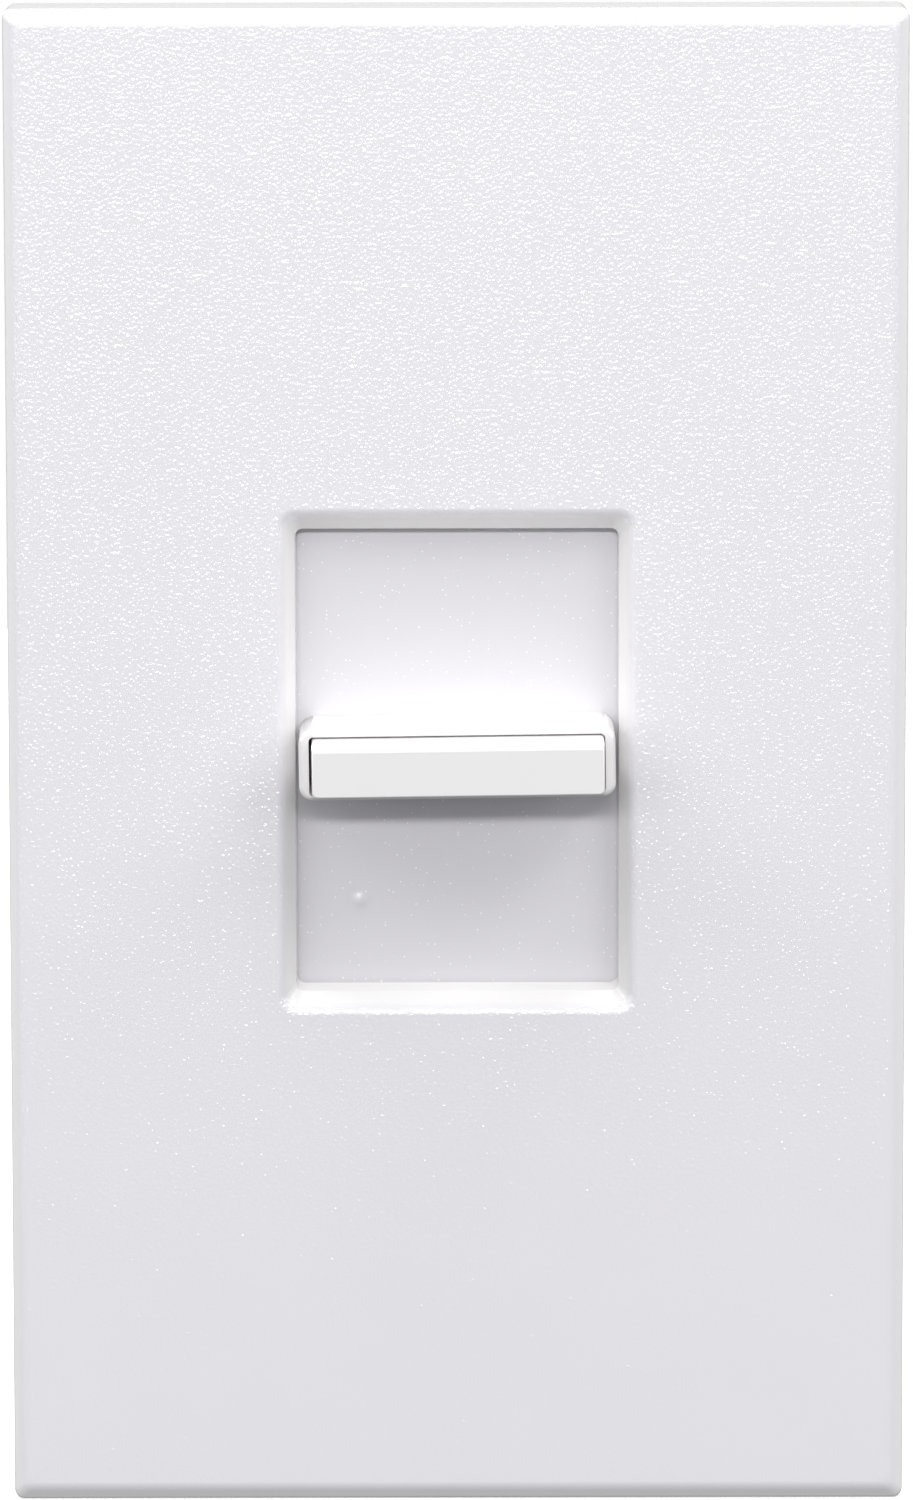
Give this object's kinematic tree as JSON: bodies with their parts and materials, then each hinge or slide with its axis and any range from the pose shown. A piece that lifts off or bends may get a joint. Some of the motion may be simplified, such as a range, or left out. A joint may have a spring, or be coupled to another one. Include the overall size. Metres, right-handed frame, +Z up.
{
  "type": "dimmer slide switch",
  "caption": "Slim rectangular wall dimmer: textured faceplate with a flared window, captive slide knob with a built-in push button, aluminium strap and rear housing.",
  "frame": {"origin": "on the wall plane, midway between the two wall-box screws", "axes": "+X to the user's right, +Y into the wall, +Z up along the slide's travel"},
  "size_m": [0.0698, 0.0445, 0.1172],
  "materials": {
    "textured_white": "fine pebbled matt white",
    "aluminium": "brushed and bead-blasted aluminium",
    "black_plastic": "matt black moulded plastic",
    "satin_white": "smooth satin white with a slight lavender tint",
    "knob_white": "smooth satin white",
    "spring_steel": "bright drawn wire",
    "natural_nylon": "natural nylon",
    "zinc_steel": "bright zinc plate",
    "brass": "stamped brass",
    "phenolic": "brown phenolic with a dark resistive track",
    "grey_plastic": "matt dark grey moulded plastic",
    "board": "green solder mask on glass fibre",
    "film_yellow": "glossy yellow epoxy dip",
    "resistor_tan": "tan lacquer",
    "diac_blue": "blue glaze",
    "epoxy": "black moulding compound",
    "heat_pad": "grey silicone pad",
    "ferrite": "dull coated powdered iron",
    "enamelled_copper": "clear brown enamel on copper",
    "green_screw": "green dyed zinc plate",
    "dark_screw": "black oxide"
  },
  "bodies": {
    "chassis": {"faceplate": "textured_white", "mounting_plate": "aluminium", "guide_frame": "black_plastic", "pot_case": "zinc_steel", "pot_track": "phenolic", "switch_case": "black_plastic", "switch_spring": "spring_steel", "bar_guide_bottom": "black_plastic", "bar_guide_top": "black_plastic", "bar_spring_bottom": "spring_steel", "bar_spring_top": "spring_steel", "box_screw_bottom": "zinc_steel", "box_screw_top": "zinc_steel", "screw_retainer_bottom": "grey_plastic", "screw_retainer_top": "grey_plastic", "circuit_board": "board", "film_capacitor": "film_yellow", "timing_capacitor": "film_yellow", "resistor_1": "resistor_tan", "resistor_2": "resistor_tan", "diac": "diac_blue", "triac_body": "epoxy", "triac_tab": "zinc_steel", "triac_pad": "heat_pad", "triac_screw": "zinc_steel", "triac_lead_1": "zinc_steel", "triac_lead_2": "zinc_steel", "triac_lead_3": "zinc_steel", "choke_base": "black_plastic", "choke_core": "ferrite", "choke_winding": "enamelled_copper", "rear_housing": "grey_plastic", "ground_plate": "brass", "ground_clamp": "zinc_steel", "ground_screw": "green_screw", "common_plate": "brass", "common_clamp": "zinc_steel", "common_screw": "dark_screw", "traveller_1_plate": "brass", "traveller_1_clamp": "zinc_steel", "traveller_1_screw": "brass", "traveller_2_plate": "brass", "traveller_2_clamp": "zinc_steel", "traveller_2_screw": "brass", "housing_screw_1": "zinc_steel", "housing_screw_2": "zinc_steel", "housing_screw_3": "zinc_steel", "housing_screw_4": "zinc_steel"},
    "slider": {"shutter": "satin_white", "knob_frame": "knob_white", "pot_carriage": "natural_nylon", "pot_lever": "zinc_steel", "pot_wiper": "brass", "button_spring_1": "spring_steel", "button_spring_2": "spring_steel"},
    "button": {"button_cap": "knob_white"},
    "press_bar": {"press_bar": "natural_nylon"},
    "switch_plunger": {"switch_plunger": "natural_nylon"}
  },
  "joints": [
    {"name": "slider_travel", "type": "slide", "parent": "chassis", "child": "slider", "axis": [0, 0, 1], "range_m": [-0.0148, 0.0132]},
    {"name": "button_press", "type": "slide", "parent": "slider", "child": "button", "axis": [0, 1, 0], "range_m": [0, 0.001], "stiffness_N_per_m": 400, "springref_m": -0.0003, "deforming": ["button_spring_1", "button_spring_2"]},
    {"name": "press_bar_press", "type": "slide", "parent": "chassis", "child": "press_bar", "axis": [0, 1, 0], "range_m": [0, 0.001], "deforming": ["bar_spring_bottom", "bar_spring_top"]},
    {"name": "switch_plunger_press", "type": "slide", "parent": "chassis", "child": "switch_plunger", "axis": [0, 1, 0], "range_m": [0, 0.001], "deforming": ["switch_spring"]}
  ],
  "couplings": [
    {"joint": "press_bar_press", "follows": "button_press", "ratio": 1},
    {"joint": "switch_plunger_press", "follows": "button_press", "ratio": 1}
  ]
}
